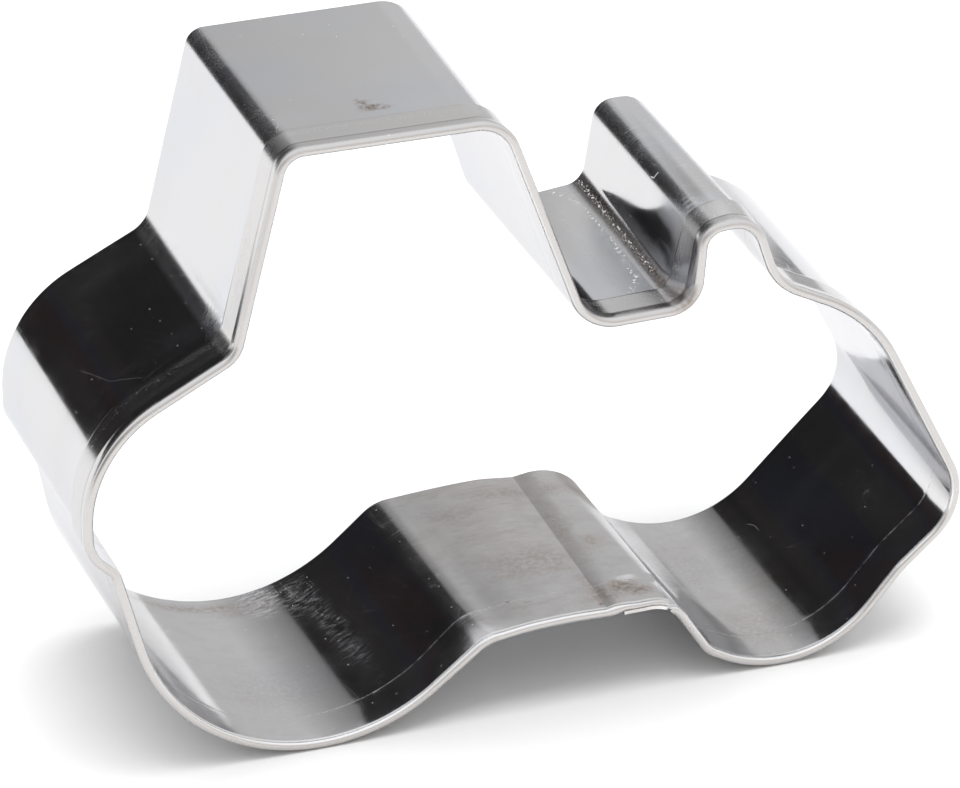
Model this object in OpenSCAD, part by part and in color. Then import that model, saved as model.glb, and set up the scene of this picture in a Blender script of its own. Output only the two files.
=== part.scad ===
// Tractor cookie cutter.
// One strip of thin stainless steel has its near edge folded over into a safe, rounded hem. It is bent
// round forming pins into the outline of a tractor, lapped under the belly and spot-welded.
// It stands on its wheels on the plane z = 0, nose towards +X, with the rolled edge towards -Y and the
// cutting edge towards +Y. All heights are taken from that plane to the middle of the sheet.

/* [Strip] */
// Width of the strip, from the rolled edge to the cutting edge
strip_width = 25; // [20:0.5:35]
// Thickness of the steel sheet
sheet = 0.3; // [0.25:0.05:0.4]
// Width of the flange that the hem folds back over the outside
hem_width = 4.1; // [4:0.1:6]
// Gap inside the fold, at its round edge
fold_gap = 0.2; // [0.1:0.02:0.3]
// Gap between the flange and the wall, behind the fold
flange_gap = 0.05; // [0.03:0.01:0.08]
// How far behind the fold the flange closes down on the wall
hem_taper = 1.2; // [0.8:0.1:1.4]

/* [Wheels] */
// Radius of the rear wheel
rear_wheel_r = 15.3; // [14:0.1:16]
// Radius of the front wheel
front_wheel_r = 10; // [9:0.1:11]
// Distance between the axles
wheelbase = 40; // [38:0.5:46]
// Radius of the tighter bend at the back of the front wheel
toe_r = 2.5; // [2:0.1:4]
// Radius of the bend between the front wheel and the nose
flank_r = 6; // [4:0.1:6.4]

/* [Body] */
// Height of the belly between the wheels
belly_height = 7.9; // [7:0.1:9]
// Radius of the bends where the belly meets the wheels
belly_bend_r = 3.6; // [2.5:0.1:4.5]
// Slope of the sheet between the rear wheel and the belly, in degrees
rear_slope = 38; // [32:1:50]
// Slope of the sheet between the belly and the front wheel, in degrees
front_slope = 58; // [50:1:66]
// Height of the hood behind the exhaust, and of the top of the bonnet
hood_height = 34; // [32:0.2:36]
// How far the nose reaches past the front axle
nose_reach = 14.9; // [13:0.1:16]
// Height of the foremost point of the nose
nose_height = 13.6; // [13.2:0.1:16]
// Radius of the nose
nose_r = 5.2; // [4:0.1:5.8]
// Radius of the brow of the bonnet
bonnet_r = 13.2; // [10:0.2:15]
// How far the middle of the brow lies behind the front axle
bonnet_setback = 2.8; // [2:0.1:4]

/* [Exhaust stack] */
// Height of the exhaust above the hood
stack_height = 7.2; // [6:0.1:10]
// Width of the exhaust across its top
stack_width = 4.7; // [4.2:0.1:6]
// How far the back of the exhaust lies behind the front axle
stack_setback = 7.3; // [6:0.1:8.4]
// How much the back of the exhaust leans out at its foot
stack_flare = 0.3; // [0:0.05:0.6]
// Radius of the front of the exhaust's domed top
stack_front_r = 2.4; // [1.6:0.1:2.6]
// Radius of the back of the exhaust's domed top
stack_rear_r = 1.6; // [1:0.1:1.6]
// Radius of the bend at the back of the exhaust's foot
stack_foot_r = 2.8; // [1.5:0.1:3.5]
// Radius of the sweep from the exhaust down to the bonnet
stack_sweep_r = 5.5; // [4.5:0.1:6.5]

/* [Cab] */
// Height of the cab roof
roof_height = 53.3; // [48:0.5:60]
// How far the roof reaches behind the rear axle
roof_rear = 2.5; // [0:0.1:5]
// How far the roof reaches in front of the rear axle
roof_front = 16.5; // [14:0.1:19]
// Radius of the rear corner of the roof
roof_rear_r = 1.7; // [1:0.1:3]
// Radius of the front corner of the roof
roof_front_r = 3; // [1.5:0.1:4]
// Distance from the rear axle to the bend at the foot of the windscreen
screen_foot = 25.3; // [24:0.1:27]
// Radius of the bend at the foot of the windscreen
screen_foot_r = 4; // [2:0.1:4.5]
// Distance from the rear axle back to the bend at the foot of the cab's back
cab_foot = 8.5; // [7:0.1:10]
// Height of the middle of that bend
cab_foot_height = 38.4; // [37.6:0.1:40]
// Radius of the bend at the foot of the cab's back
cab_foot_r = 2.6; // [1.5:0.1:3.5]

/* [Fender] */
// How far the fender reaches behind the rear axle
fender_reach = 18.7; // [18:0.1:19.6]
// Radius of the fender
fender_r = 10.3; // [8:0.1:11]
// Height of the middle of the fender's curve
fender_height = 24; // [23.2:0.1:25]
// Radius of the fender's lower end
fender_end_r = 3; // [2:0.1:4]
// Height of the middle of the fender's lower end
fender_end_height = 22.7; // [22:0.1:23]
// Slope of the sheet below the fender's lower end, in degrees
step_slope = 43; // [38:1:48]
// Height of the middle of the bend between the fender and the rear wheel
step_height = 18.7; // [18.3:0.1:19]
// Radius of that bend
step_r = 1.2; // [1:0.1:1.5]

/* [Lap joint] */
// Length over which the two ends of the strip lie on each other
lap_length = 4.3; // [3.4:0.1:5]
// Straight part of the lap, behind the bend down to the front wheel
lap_straight = 2.3; // [1.8:0.1:2.8]
// Length of the joggle that lifts the inner end over the outer one
joggle_length = 1.4; // [0.8:0.1:2.5]
// Gap between the lapped ends, which the weld nuggets bridge
lap_gap = 0.06; // [0.04:0.01:0.1]
// Diameter of a weld nugget
weld_d = 1.4; // [1:0.1:1.6]
// Distance of the first weld from the rolled edge
weld_inset = 3.2; // [2.6:0.1:3.3]
// Distance of the last weld from the cutting edge
weld_edge_inset = 2; // [1.5:0.1:4]

/* [Smoothness] */
// Largest distance between a bend's facets and its true curve
bend_error = 0.012; // [0.008:0.002:0.03]
// Number of facets round the fold
fold_facets = 6; // [4:1:8]

/* [Hidden] */

near_y = -strip_width / 2;
far_y = strip_width / 2;
half = sheet / 2;
fold_r = (2 * sheet + fold_gap) / 2;
fold_y = near_y + fold_r;
flange_y = near_y + hem_width;
// The wheels stand on the outer face of the hem, so the middle of the sheet is this high under them
ground = 2 * fold_r - half;

// How much the inner end of the strip is lifted to lie on the outer one
sheet_lift = sheet + lap_gap;
// Shortest straight run of the sheet between two bends
run = 0.4;

// A pin is [x from the rear axle, height, radius], and the radius is negative where the strip bends
// outwards round it. These two give the x of a pin before or after pin p, where the sheet between the
// two runs at a heading.
function x_before(p, height, r, heading) =
    p[0] - (r - p[2] + (p[1] - height) * cos(heading)) / sin(heading);
function x_after(p, height, r, heading) =
    p[0] + (p[2] - r + (height - p[1]) * cos(heading)) / sin(heading);

// Directions from the front axle to the pins of the toe and of the flank, below the horizontal
toe_way = 54;
flank_way = 29;
rear_wheel = [0, ground + rear_wheel_r, rear_wheel_r];
front_wheel = [wheelbase, ground + front_wheel_r, front_wheel_r];
toe_away = front_wheel_r - toe_r + 0.05;
toe = [wheelbase - toe_away * cos(toe_way), front_wheel[1] - toe_away * sin(toe_way), toe_r];
flank_away = front_wheel_r + flank_r + 0.3;
flank = [wheelbase + flank_away * cos(flank_way), front_wheel[1] - flank_away * sin(flank_way), -flank_r];
belly_pin = belly_height - belly_bend_r;
belly_rear = [x_after(rear_wheel, belly_pin, -belly_bend_r, rear_slope), belly_pin, -belly_bend_r];
belly_front = [x_before(toe, belly_pin, -belly_bend_r, -front_slope), belly_pin, -belly_bend_r];
nose = [wheelbase + nose_reach - nose_r, nose_height, nose_r];
bonnet = [wheelbase - bonnet_setback, hood_height - bonnet_r, bonnet_r];
stack_back = wheelbase - stack_setback;
stack_front = stack_back + stack_width;
stack_top = hood_height + stack_height;
stack_sweep = [stack_front + stack_sweep_r + run, hood_height + stack_sweep_r - 0.5, -stack_sweep_r];
fender_end = [fender_end_r - fender_reach, fender_end_height, fender_end_r];
step_x = x_after(fender_end, step_height, -step_r, -step_slope);

// The forming pins in the order in which the strip runs round them, counter-clockwise seen from the
// rolled edge, starting in front of the belly
PINS = [
    belly_front,
    toe,
    front_wheel,
    flank,
    nose,
    bonnet,
    stack_sweep,
    [stack_front - stack_front_r, stack_top - stack_front_r, stack_front_r],
    [stack_back + stack_rear_r, stack_top - stack_rear_r, stack_rear_r],
    [stack_back - stack_flare - stack_foot_r, hood_height + stack_foot_r, -stack_foot_r],
    [screen_foot, hood_height + screen_foot_r, -screen_foot_r],
    [roof_front - roof_front_r, roof_height - roof_front_r, roof_front_r],
    [roof_rear_r - roof_rear, roof_height - roof_rear_r, roof_rear_r],
    [-cab_foot, cab_foot_height, -cab_foot_r],
    [fender_r - fender_reach, fender_height, fender_r],
    fender_end,
    [step_x, step_height, -step_r],
    rear_wheel,
    belly_rear,
];
BENDS = len(PINS);

// Heading of the straight run from pin i to the next one, which touches both
function run_heading(i) =
    let (a = PINS[i % BENDS], b = PINS[(i + 1) % BENDS], across = b[0] - a[0], rise = b[1] - a[1])
    atan2(rise, across) + asin((a[2] - b[2]) / norm([across, rise]));

// Turn of the strip round pin i, between -180 and 180 degrees
function pin_turn(i) =
    let (turn = run_heading(i) - run_heading(i + BENDS - 1))
    turn - 360 * floor((turn + 180) / 360);

// A station is [x, height, heading, lift, drop, gap]: lift moves the whole section inwards, drop moves
// the hem outwards, and gap is the opening of the fold there.
function on_pin(i, heading, lift = 0, drop = 0, gap = fold_gap) =
    let (p = PINS[i % BENDS])
    [p[0] + p[2] * sin(heading), p[1] - p[2] * cos(heading), heading, lift, drop, gap];

function bend_steps(i) =
    ceil(abs(pin_turn(i)) / (2 * acos(1 - bend_error / abs(PINS[i % BENDS][2]))));

function bend(i) =
    let (start = run_heading(i + BENDS - 1), steps = bend_steps(i))
    [for (k = [0 : steps]) on_pin(i, start + pin_turn(i) * k / steps)];

// The lap lies on the level belly. The outer end starts at lap_x, and the inner end comes back over it
// and follows it round the first bend.
bend_x = PINS[0][0];
lap_x = bend_x - lap_straight;
lap_turn = min((lap_length - lap_straight) / belly_bend_r * 180 / PI, -pin_turn(0) - 8);
drop_turn = min(lap_turn + 20, -pin_turn(0) - 2);
hem_drop = sheet + flange_gap;
joggle_end = lap_x - lap_gap - 0.3;

function on_belly(x, lift = 0, drop = 0, gap = fold_gap) = [x, belly_height, 0, lift, drop, gap];

outer_end = concat(
    [on_belly(lap_x, drop = hem_drop)],
    [for (k = [0 : 4]) on_pin(0, -lap_turn * k / 4, drop = hem_drop)],
    [on_pin(0, -drop_turn)],
    [for (k = [1 : 4]) on_pin(0, -drop_turn + (pin_turn(0) + drop_turn) * k / 4)]);

inner_end = concat(
    [on_belly(joggle_end - joggle_length)],
    [on_belly(joggle_end - joggle_length / 3, lift = sheet_lift * 0.8, gap = fold_gap)],
    [on_belly(joggle_end, lift = sheet_lift, gap = flange_gap)],
    [for (k = [0 : 4]) on_pin(0, -lap_turn * k / 4, lift = sheet_lift, gap = flange_gap)]);

STATIONS = concat(
    outer_end,
    [for (i = [1 : BENDS - 1]) each bend(i)],
    inner_end);

// The outline is centred on the longest way across the cutter
xs = [for (s = STATIONS) each [s[0] + (ground + s[3]) * sin(s[2]), s[0] - half * sin(s[2])]];
middle_x = (min(xs) + max(xs)) / 2;

// Cross-section of the strip as [outwards, y], from the cutting edge along the inner face, round the
// fold, back under the flange and along the outer face
function section(drop, gap) =
    let (
        outer_r = sheet + gap / 2,
        inner_r = gap / 2,
        centre = half + gap / 2 + drop,
        closed = half + min(gap, flange_gap) + drop,
        step_y = flange_y + 0.3,
        wall_y = flange_y + 1.2
    )
    concat(
        [[-half, far_y], [-half, wall_y], [-half + drop, step_y]],
        [for (k = [0 : fold_facets])
            let (a = 180 * k / fold_facets)
            [centre - outer_r * cos(a), fold_y - fold_r * sin(a)]],
        [[closed + sheet, fold_y + hem_taper], [closed + sheet, flange_y]],
        [[closed, flange_y], [closed, fold_y + hem_taper]],
        [for (k = [0 : fold_facets])
            let (a = 180 * k / fold_facets)
            [centre + inner_r * cos(a), fold_y - (fold_r - sheet) * sin(a)]],
        [[half + drop, step_y], [half, wall_y], [half, far_y]]);

function placed(s) =
    [for (p = section(s[4], s[5]))
        let (out = p[0] - s[3])
        [s[0] + out * sin(s[2]) - middle_x, p[1], s[1] - out * cos(s[2])]];

// Skin through a list of sections that all have the same number of points. Each section runs along one
// face of the sheet and back along the other, so an end closes with one quad across the sheet for each
// pair of points. As far as the section called trimmed, the sheet ends at the points called lip.
module loft(sections, trimmed, lip) {
    count = len(sections[0]);
    last = (len(sections) - 1) * count;
    sides = [for (i = [0 : len(sections) - 2], j = [0 : count - 1])
        if (i >= trimmed || j <= lip || j >= count - 1 - lip)
            let (
                next = i < trimmed && j == lip ? count - 1 - lip : (j + 1) % count,
                a = i * count + j,
                b = i * count + next
            )
            each [[a, a + count, b], [b, a + count, b + count]]];
    ends = [for (j = [0 : count / 2 - 2])
        let (
            quad = [j, j + 1, count - 2 - j, count - 1 - j],
            start = j < lip ? 0 : trimmed * count
        )
        each [[for (k = [0 : 3]) start + quad[k]], [for (k = [3 : -1 : 0]) last + quad[k]]]];
    polyhedron(points = [for (s = sections) each s], faces = concat(sides, ends));
}

// The flange of the outer end is trimmed off over the straight of the lap, back to the middle of the
// fold, where it makes room for the hem of the inner end.
module steel_band() {
    color("silver")
        loft([for (s = STATIONS) placed(s)], 1, 3 + floor(fold_facets / 2));
}

// A nugget fills the gap between the lapped sheets, seat being the height of its upper face
module weld_nugget(y, seat, gap) {
    color("tan")
        translate([lap_x - middle_x + lap_straight / 2, y, seat - gap])
            cylinder(h = gap, d = weld_d, $fn = 48);
}

// Under the hem the faying faces are the flange of the inner end and the dropped wall of the outer end
hem_seat = belly_height - half + sheet_lift - flange_gap - sheet;
wall_seat = belly_height + half + lap_gap;

module weld_at_rolled_edge() {
    weld_nugget(near_y + weld_inset, hem_seat, hem_seat - (belly_height + half - hem_drop));
}

module weld_in_middle() {
    weld_nugget((near_y + weld_inset + far_y - weld_edge_inset) / 2, wall_seat, lap_gap);
}

module weld_at_cutting_edge() {
    weld_nugget(far_y - weld_edge_inset, wall_seat, lap_gap);
}

steel_band();
weld_at_rolled_edge();
weld_in_middle();
weld_at_cutting_edge();
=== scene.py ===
"""Tractor cookie cutter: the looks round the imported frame.

The steel band is rebuilt finely from three rails, at the rolled edge, behind the hem and at the
cutting edge, because the real one was bent by hand and its two edges differ a little. Lengths in
the geometry are in millimetres, in the frame's axes, and are turned into metres when a mesh is
made. Places on the unrolled strip are s, along it from the outer end of the lap, and across, which
is y on the wall and goes on past the rolled edge over the hem's outside.
"""

import math

import bpy
import numpy as np
from mathutils import Matrix, Vector


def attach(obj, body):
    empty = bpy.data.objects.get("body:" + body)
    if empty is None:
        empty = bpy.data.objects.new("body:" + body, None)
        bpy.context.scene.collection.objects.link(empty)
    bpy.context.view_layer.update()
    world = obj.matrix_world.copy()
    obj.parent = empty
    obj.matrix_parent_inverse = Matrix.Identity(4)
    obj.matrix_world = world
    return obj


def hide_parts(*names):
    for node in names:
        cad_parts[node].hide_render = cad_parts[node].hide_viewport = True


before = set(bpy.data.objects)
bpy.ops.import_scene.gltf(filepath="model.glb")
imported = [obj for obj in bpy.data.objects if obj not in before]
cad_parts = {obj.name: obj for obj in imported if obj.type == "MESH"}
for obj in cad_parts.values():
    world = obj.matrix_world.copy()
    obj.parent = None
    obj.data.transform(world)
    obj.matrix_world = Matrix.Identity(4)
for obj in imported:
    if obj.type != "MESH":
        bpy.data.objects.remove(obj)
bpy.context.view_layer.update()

MM = 0.001

# ------------------------------------------------------------------ sizes of the strip
WIDTH = 25.0
SHEET = 0.3
HALF = SHEET / 2
FOLD_GAP = 0.2
FLANGE_GAP = 0.08
HEM_WIDTH = 4.1
HEM_TAPER = 1.0
NEAR_Y = -WIDTH / 2
FAR_Y = WIDTH / 2
FOLD_R = (2 * SHEET + FOLD_GAP) / 2
FOLD_Y = NEAR_Y + FOLD_R
FLANGE_Y = NEAR_Y + HEM_WIDTH
# The sheet's cut edges: width of their rounding, and share of the thickness left at the very edge
EASE = 0.07
EDGE_LEFT = 0.55

# Lap joint, on the rolled edge. The inner end's hem is pressed down by HEM_SINK on the outer end's
# bare rim, which gives way by RIM_SQUASH.
LAP_X = 7.95
LAP_GAP = 0.02
LIFT = SHEET + LAP_GAP
HEM_SINK = 0.16
RIM_SQUASH = 0.14
DROP = LIFT + HEM_SINK - RIM_SQUASH
LAP_TURN = math.radians(26)
LAP_TURN_FAR = math.radians(48)
DROP_TURN = math.radians(44)
JOGGLE_START = 6.5
JOGGLE_END = 9.1
JOGGLE_RAMP = 0.05
# Stretches of x under the belly in which the hem of the inner end sinks, its fold closes on the
# bare rim, its stations lie close together, and the lines across the strip begin to lean
SINK_SPAN = (7.0, 9.6)
CLOSE_SPAN = (7.0, 8.3)
FINE_SPAN = (5.9, 9.3)
LEAN_SPAN = (1.0, 5.0)
# How far the line across each end leans towards the nose at the cutting edge
INNER_SKEW = 0.85
OUTER_SKEW = 0.5
# Length along the strip of the part of the outer end that lies under the inner one
OUTER_LAP = 4

# The outer end's bare rim, where its flange is trimmed off: steps of the fold that it keeps, and
# the length of one
BARE_STEPS = 4
BARE_STEP = 0.09

# The rail in the middle, behind the hem
MID_Y = -6.5

# Marks that folding leaves in the wall: its bow under the flange, and the crease along the flange's
# edge with its half-width
HEM_BOW = 0.03
CREASE = 0.012
CREASE_HALF = 0.3
# Stretches of s in which the crease shows less: share lost, start and end of the fading, start and
# end of the return
FAINT_CREASE = ((0.8, 62.0, 68.0, 86.0, 94.0), (0.75, 119.0, 124.5, 143.0, 148.0))
# The sheet's ripple, the distance from the strip's ends over which it sets in, and its share left
# in the stiff hem
RIPPLE = 0.03
RIPPLE_SPAN = (7.0, 14.0)
HEM_RIPPLE = 0.25

# Spot welds between the lapped sheets: x, y, z. Each leaves a dimple in both faces.
WELDS = ((9.3, -9.3, 7.58), (9.4, 0.5, 7.82), (9.7, 9.9, 7.57))
DIMPLE = 0.012
DIMPLE_R = 0.75
NUGGET_R = 1.1
NUGGET_HALF = 0.09

# Bulge of the belly: x, height on the rolled edge, height on the cutting edge. Its corners are
# blurred over so many steps of CROWN_X.
CROWN = np.array([
    (-3.5, 0.0, 0.0), (-2.6, 0.0, 0.07), (-1.2, 0.169, 0.175), (0.2, 0.28, 0.27),
    (2.35, 0.321, 0.38), (4.4, 0.28, 0.42), (5.0, 0.24, 0.35), (6.6, 0.15, 0.17),
    (8.2, 0.062, 0.02), (9.0, 0.0, 0.0),
])
CROWN_X = np.arange(-5.0, 11.0, 0.05)
NEAR_BLUR = 25
FAR_BLUR = 21

# Studio
FLOOR_HALF = 1500.0
DOME = 1450.0
DOME_WHITE = (1.22, 1.24, 1.28, 1)
DOME_FRONT = (0.98, 0.95, 0.92)
BACKDROP_X = (-900, 700)
BACKDROP_Y = 425
BACKDROP_Z = (-5, 420)
# The backdrop, by x and z in mm. Black flag: the x of its soft edge, how far noise moves it, and
# two coloured stripes, each with two x for its soft left side and two for its right side
FLAG_EDGE = (-22.0, -12.0)
FLAG_WANDER = 16.0
RED_STRIPE = (-285, -262, -255, -238)
BLUE_STRIPE = (-245, -228, -222, -200)
# Grey wall: two slopes as x, x, tone, tone; a shade that fades upwards; where the wall fades into
# the white room
WALL_SLOPES = ((-20, 60, 0.27, 0.50), (60, 160, 0.0, 0.32))
SHADE = 0.70
SHADE_LEFT = (298, 314)
SHADE_RIGHT = (320, 334)
SHADE_Z = (20, 130)
ROOM_X = (330, 690)
ROOM_Z = (350, 420)
# Bright patch at the wall's foot: tone, stripe of x, and its top as two slopes x, x, z, z
GLOW = 1.25
GLOW_STRIPE = (200, 250, 310, 314)
GLOW_TOP = ((240, 256, 0.0, 19.0), (256, 306, 0.0, 28.0))
GLOW_SOFT = 5.0
# The table tips a little, so that the rolled edge and the cutting edge both touch it
TILT = 0.45 / 24.6
# Light of the sky at the horizon and from SKY_TOP up, where 1 is overhead
HORIZON_LIGHT = 0.25
ROOM_LIGHT = 0.99
SKY_TOP = 0.8
SOFTBOX_WATTS = 10.0
SOFTBOX_AT = (0.01, -0.03, 1.12)
SOFTBOX_SIZE = 0.9

# Camera, from a fit to the photo: angles, distance and target in mm, focal length in the photo's
# pixels, and sensor in mm
AZIMUTH = math.radians(-19.841)
ELEVATION = math.radians(27.843)
DISTANCE = 589.9
TARGET = np.array([-0.02, 0.0, 22.983])
FOCAL = 7251.8
PHOTO_WIDTH = 960
SENSOR = 36.0

# Which face of the sheet a mark is on. The outside of the hem belongs to the inner face.
INNER = 0
OUTER = 40

# Soft marks on the sheet: side, s, across, half-length, half-width, amount
# Brown: heat, rust and grime
BROWN = (
    (0, 224.3, -9.3, 1.1, 0.9, 0.9), (0, 225.5, -10.3, 0.9, 0.6, 0.8),
    (0, 222.3, -9.9, 0.8, 1.5, 0.65), (0, 223.4, -10.4, 0.9, 0.6, 0.5),
    (0, 221.9, -11.4, 0.3, 0.25, 1.0), (0, 225.2, -12.7, 1.0, 0.12, 0.9),
    (0, 221.7, -7.6, 0.5, 1.5, 0.35), (0, 224.9, -1.1, 0.7, 0.9, 0.4),
    (0, 225.1, 8.9, 0.8, 0.9, 0.4), (0, 222.8, 2.5, 0.6, 3.5, 0.30),
    (0, 216.6, 7.6, 1.6, 1.2, 0.30), (0, 218.8, -3.0, 2.6, 2.2, 0.35),
    (0, 220.0, 9.5, 1.8, 1.0, 0.35), (0, 215.3, -8.35, 0.13, 0.10, 1.0),
    (0, 216.6, -8.98, 0.13, 0.10, 0.9), (40, 118.6, -5.1, 0.35, 0.28, 1.3),
    (40, 118.2, -6.05, 0.65, 0.28, 1.5), (40, 117.3, -6.2, 0.5, 0.2, 1.0),
    (40, 118.9, -4.4, 0.1, 0.1, 0.5), (0, 193.5, -4.0, 4.0, 3.0, 0.15),
    (0, 16.5, -7.0, 3.0, 3.0, 0.2), (0, 14.0, 4.0, 2.5, 4.0, 0.15), (0, 20.5, 2.0, 2.0, 5.0, 0.12),
    (0, 1.0, -12.5, 1.4, 0.6, 0.45), (40, 1.0, -12.5, 1.4, 0.6, 0.45),
    (0, 192.5, 10.9, 5.5, 0.45, 0.5), (0, 196.5, 9.8, 2.5, 0.6, 0.3),
    (40, 80.9, 2.0, 0.9, 15.0, 0.8), (40, 80.8, -5.0, 1.0, 6.0, 0.95),
    (0, 81.2, -14.0, 1.2, 2.0, 0.6),
)
# Dust and shade: a film of dust and fat; the spot at the lap's inner end, over 1, is painted shade
DUST_AND_SHADE = (
    (0, 220.0, 0.0, 9.0, 30.0, 0.95), (0, 190.0, 0.0, 8.0, 30.0, 0.45),
    (0, 17.2, 0.0, 5.3, 30.0, 0.6), (0, 227.6, 11.0, 1.5, 6.5, 1.6),
)
# Rubbed: a fine matt finish
RUBBED = (
    (40, 84.2, 0.0, 1.7, 12.0, 1.0), (40, 76.5, -9.5, 2.0, 2.0, 0.8),
    (0, 226.8, 11.0, 1.2, 5.5, 0.8), (0, 136.5, -14.5, 4.5, 1.6, 0.5),
    (0, 85.4, -14.5, 1.8, 1.6, 0.6),
)
# Scuffed: light streaks
SCUFFED = (
    (40, 142.9, 6.2, 0.5, 1.6, 0.6), (40, 143.4, -6.4, 0.7, 1.8, 1.0),
    (0, 201.2, 4.0, 0.9, 8.0, 0.6), (0, 197.8, 10.6, 1.5, 2.2, 1.3), (0, 200.6, 9.0, 1.4, 2.6, 0.7),
    (40, 83.3, 4.0, 0.35, 9.0, 0.45), (40, 74.4, -7.3, 0.8, 1.4, 0.6),
    (40, 80.9, 0.0, 0.4, 14.0, 0.35), (40, 155.0, -2.0, 1.2, 3.0, 0.25),
    (0, 31.5, -3.0, 0.8, 4.0, 0.25),
)

# Rows of small bright chips on the outer face: half-width, then points (s, across)
FLECKS = (
    (0.35, (84.4, 12.2), (83.2, 9.0), (82.9, 2.0), (83.2, -2.0), (83.5, -5.2), (84.6, -7.4)),
    (0.8, (81.0, 12.0), (80.9, 4.0), (80.8, -5.0)),
)
# Single scratches: amount, then points (s, across, side). Each stroke adds nodes to the steel, and
# its material is near the most that Cycles can hold.
SCRATCHES = (
    (1.0, (75.55, -0.2, 40), (75.42, -0.72, 40), (74.8, -0.68, 40)),
    (0.07, (154.97, -0.24, 40), (153.35, -4.7, 40), (151.1, -7.0, 40)),
    (0.3, (22.6, 7.4, 0), (23.05, 6.6, 0), (23.0, 5.8, 0)),
)
STROKE_HALF = 0.015
STROKE_SOFT = 0.05

# Zones across the unrolled strip: from, to, softness. The fold, its front and its bead, the kink
# and the edge of the flange, the wall inside the hem, and on it the line and the rub of the flange
FOLD_ZONE = (-13.0, -12.1, 0.12)
# Painted shade: the front of the fold, which gets a darker colour
FRONT_ZONE = (-12.9, -12.42, 0.10)
# Painted highlight: the top band of the fold, which gets a bright colour
BEAD_HIGHLIGHT_ZONE = (-12.28, -12.04, 0.12)
# Painted shade: a dark line along the kink where the flange's taper meets its flat
KINK_ZONE = (-13.98, -13.86, 0.14)
RIM_ZONE = (-15.95, -15.5, 0.25)
INSIDE_ZONE = (-12.1, -8.3, 0.3)
LINE_ZONE = (-8.43, -8.39, 0.05)
RUB_ZONE = (-8.5, -8.3, 0.2)

# Forming pins of each rail: x, z, radius, negative where the strip bends outwards round the pin.
# By rows: belly's front, toe, front wheel; flank, nose, bonnet; exhaust's front foot, its front and
# rear corner; its rear foot, windscreen's foot, roof's front; roof's rear, cab's foot, fender;
# fender's end, step, rear wheel; belly's rear.
NEAR_PINS = np.array([
    (10.25, 4.25, -3.75), (17.42, 4.54, 2.45), (21.92, 10.67, 10.00),
    (36.40, 3.05, -6.00), (31.73, 13.62, 5.05), (18.97, 20.95, 13.32),
    (25.20, 38.98, -5.57), (16.90, 38.50, 2.45), (16.20, 39.38, 1.52),
    (11.64, 36.92, -2.86), (7.27, 38.04, -4.07), (-4.75, 49.92, 3.22),
    (-18.88, 51.53, 1.76), (-26.70, 38.34, -2.68), (-26.38, 23.78, 10.40),
    (-33.72, 22.62, 3.04), (-35.70, 18.67, -1.16), (-17.90, 15.995, 15.33),
    (-2.42, 3.985, -3.64),
])
FAR_PINS = np.array([
    (9.30, 3.04, -4.30), (17.28, 4.42, 2.75), (21.58, 10.66, 10.18),
    (36.58, 3.00, -5.85), (31.58, 13.66, 5.25), (19.10, 20.78, 13.32),
    (25.16, 38.93, -5.60), (16.68, 38.75, 2.62), (16.04, 39.70, 1.66),
    (11.83, 35.90, -1.90), (7.30, 37.84, -4.28), (-4.44, 49.92, 3.34),
    (-19.10, 51.88, 1.46), (-26.64, 38.66, -2.80), (-26.15, 24.08, 10.50),
    (-33.66, 22.62, 3.00), (-35.62, 18.68, -1.24), (-18.34, 15.80, 15.18),
    (-3.50, 3.76, -3.64),
])
# A run of the strip has the number of the pin before it plus a half. This is the belly's.
BELLY_RUN = 18.5

# Where the bend at MID_Y isn't on the straight line between the two rails: pin, dx, dz, dr
MID_SHIFTS = ((18, -0.45, 0.10, 0.0), (9, 0.19, -1.03, 1.03), (7, 0.25, 0.2, 0.0))
MID_PINS = NEAR_PINS + (FAR_PINS - NEAR_PINS) * (MID_Y - NEAR_Y) / WIDTH
for pin, dx, dz, dr in MID_SHIFTS:
    MID_PINS[pin] += (dx, dz, dr)
RAILS = (NEAR_PINS, MID_PINS, FAR_PINS)
RAIL_Y = (NEAR_Y, MID_Y, FAR_Y)


# ------------------------------------------------------------------ rails
# Stations: least number round a pin, most degrees and mm from one to the next; on the outer end, on
# the belly behind FINE_SPAN, in it and after it, and round the bend that the inner end follows
PIN_STEPS, STEP_DEGREES, PIN_STEP, RUN_STEP = 8, 4, 0.28, 0.4
OUTER_STEPS, BELLY_STEPS, FINE_STEPS, LAST_STEPS, TURN_STEPS = 14, 30, 54, 8, 16


def belt_angles(pins):
    """Heading of the straight run after each pin, of a taut belt that touches all of them."""
    out = []
    for a, b in zip(pins, np.roll(pins, -1, 0)):
        d = b[:2] - a[:2]
        out.append(math.atan2(d[1], d[0]) + math.asin((a[2] - b[2]) / math.hypot(*d)))
    return out


def arc_part(pins, i, start, turn, count):
    """count + 1 points and headings round pin i."""
    t = start + turn * np.linspace(0, 1, count + 1)
    x, z, r = pins[i]
    return np.stack([x + r * np.sin(t), z - r * np.cos(t)], 1), t


def arc_points(pins, i, count):
    after = belt_angles(pins)
    turn = (after[i] - after[i - 1] + math.pi) % (2 * math.pi) - math.pi
    return arc_part(pins, i, after[i - 1], turn, count)


def rail(pins, arc_steps, run_steps):
    """The strip's path on one rail: points, headings, the pin or run of each, and the arcs."""
    n = len(pins)
    arcs = [arc_points(pins, i, arc_steps[i]) for i in range(n)]
    points, headings, owner = [], [], []
    for i in range(n):
        p, t = arcs[i]
        points.append(p)
        headings.append(t)
        owner.append(np.full(len(p), float(i)))
        step = np.linspace(0, 1, run_steps[i] + 1)[1:-1, None]
        q = p[-1] + (arcs[(i + 1) % n][0][0] - p[-1]) * step
        points.append(q)
        headings.append(np.full(len(q), t[-1]))
        owner.append(np.full(len(q), i + 0.5))
    return np.concatenate(points), np.concatenate(headings), np.concatenate(owner), arcs


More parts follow.
